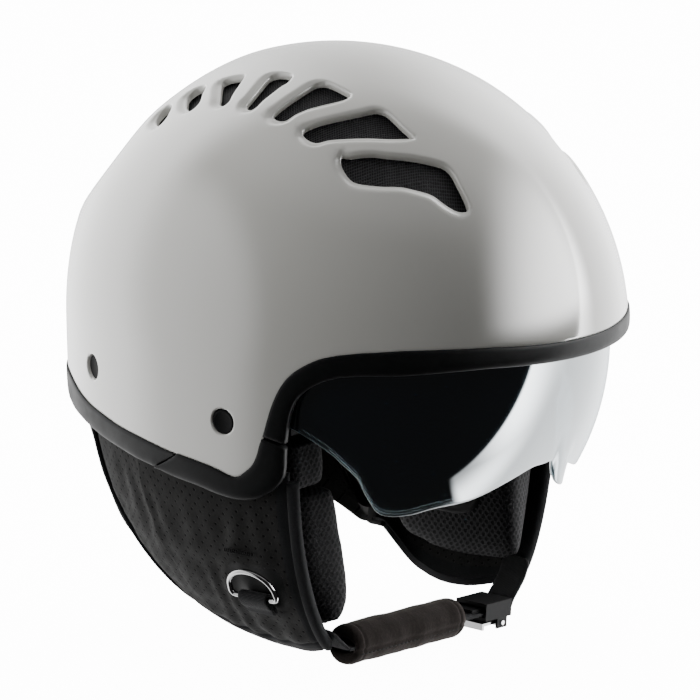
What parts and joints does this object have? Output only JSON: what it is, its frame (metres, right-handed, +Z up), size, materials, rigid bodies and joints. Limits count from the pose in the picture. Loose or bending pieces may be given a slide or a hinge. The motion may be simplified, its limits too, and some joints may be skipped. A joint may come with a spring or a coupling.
{
  "type": "open face motorcycle helmet",
  "caption": "Open face motorcycle helmet with crown vents, rubber edge trim, drop-down inner sun visor, padded ear and neck curtain, and a sleeved chin strap with a ratchet buckle.",
  "frame": {"origin": "centre of the wearer's head, which is the centre of the padded cavity", "axes": "+Z up, -Y out of the face opening, +X to the wearer's left"},
  "size_m": [0.238, 0.2839, 0.2973],
  "materials": {
    "shell_gloss": "gloss",
    "trim_rubber": "satin",
    "foam": "matte",
    "vent_mesh": "matte",
    "lining_fabric": "matte",
    "spacer_mesh": "matte",
    "perforated_cloth": "matte",
    "binding": "matte",
    "suede": "matte",
    "lens_smoke": "polished",
    "black_plastic": "satin",
    "chrome": "polished",
    "steel": "satin",
    "webbing": "matte"
  },
  "bodies": {
    "helmet": {"outer_shell": "shell_gloss", "front_edge_trim": "trim_rubber", "rear_edge_trim": "trim_rubber", "right_corner_plate": "trim_rubber", "left_corner_plate": "trim_rubber", "foam_liner": "foam", "right_vent_mesh": "vent_mesh", "left_vent_mesh": "vent_mesh", "crown_liner": "lining_fabric", "brow_pad": "lining_fabric", "occipital_pad": "lining_fabric", "right_temple_pad": "spacer_mesh", "left_temple_pad": "spacer_mesh", "right_ear_curtain": "perforated_cloth", "right_curtain_piping": "binding", "left_ear_curtain": "perforated_cloth", "left_curtain_piping": "binding", "neck_roll": "perforated_cloth", "right_cheek_pad": "spacer_mesh", "right_cheek_patch": "suede", "left_cheek_pad": "spacer_mesh", "left_cheek_patch": "suede", "right_visor_bracket": "black_plastic", "right_pivot_screw": "steel", "left_visor_bracket": "black_plastic", "left_pivot_screw": "steel", "right_front_cap": "black_plastic", "right_strap_rivet": "steel", "right_rear_cap": "black_plastic", "right_rear_screw": "steel", "right_strap_anchor": "steel", "left_front_cap": "black_plastic", "left_strap_rivet": "steel", "left_rear_cap": "black_plastic", "left_rear_screw": "steel", "left_strap_anchor": "steel", "right_chin_strap": "webbing", "left_chin_strap": "webbing", "buckle_housing": "black_plastic", "lever_pin": "steel", "hook_ring_tab": "webbing"},
    "visor": {"sun_visor": "lens_smoke"},
    "strap": {"strap_run": "webbing", "ratchet_rack": "black_plastic"},
    "sleeve": {"chin_sleeve": "suede"},
    "lever": {"release_lever": "chrome"},
    "ring": {"hook_ring": "chrome"}
  },
  "joints": [
    {"name": "visor_swing", "type": "hinge", "parent": "helmet", "child": "visor", "pos_m": [0, -0.003, -0.007], "axis": [-1, 0, 0], "range_deg": [0, 48]},
    {"name": "strap_ratchet", "type": "slide", "parent": "helmet", "child": "strap", "axis": [0.9971, 0, -0.0765], "range_m": [0, 0.005]},
    {"name": "sleeve_slide", "type": "slide", "parent": "strap", "child": "sleeve", "axis": [0.9971, 0, -0.0765], "range_m": [0, 0.003]},
    {"name": "lever_release", "type": "hinge", "parent": "helmet", "child": "lever", "pos_m": [0.04884, -0.0525, -0.15869], "axis": [0, -1, 0], "range_deg": [0, 35], "stiffness_Nm_per_rad": 0.02, "springref_deg": -20.05},
    {"name": "ring_swing", "type": "hinge", "parent": "helmet", "child": "ring", "pos_m": [-0.1014, -0.02707, -0.11649], "axis": [0.0445, -0.9988, 0.0186], "range_deg": [0, 150]}
  ]
}
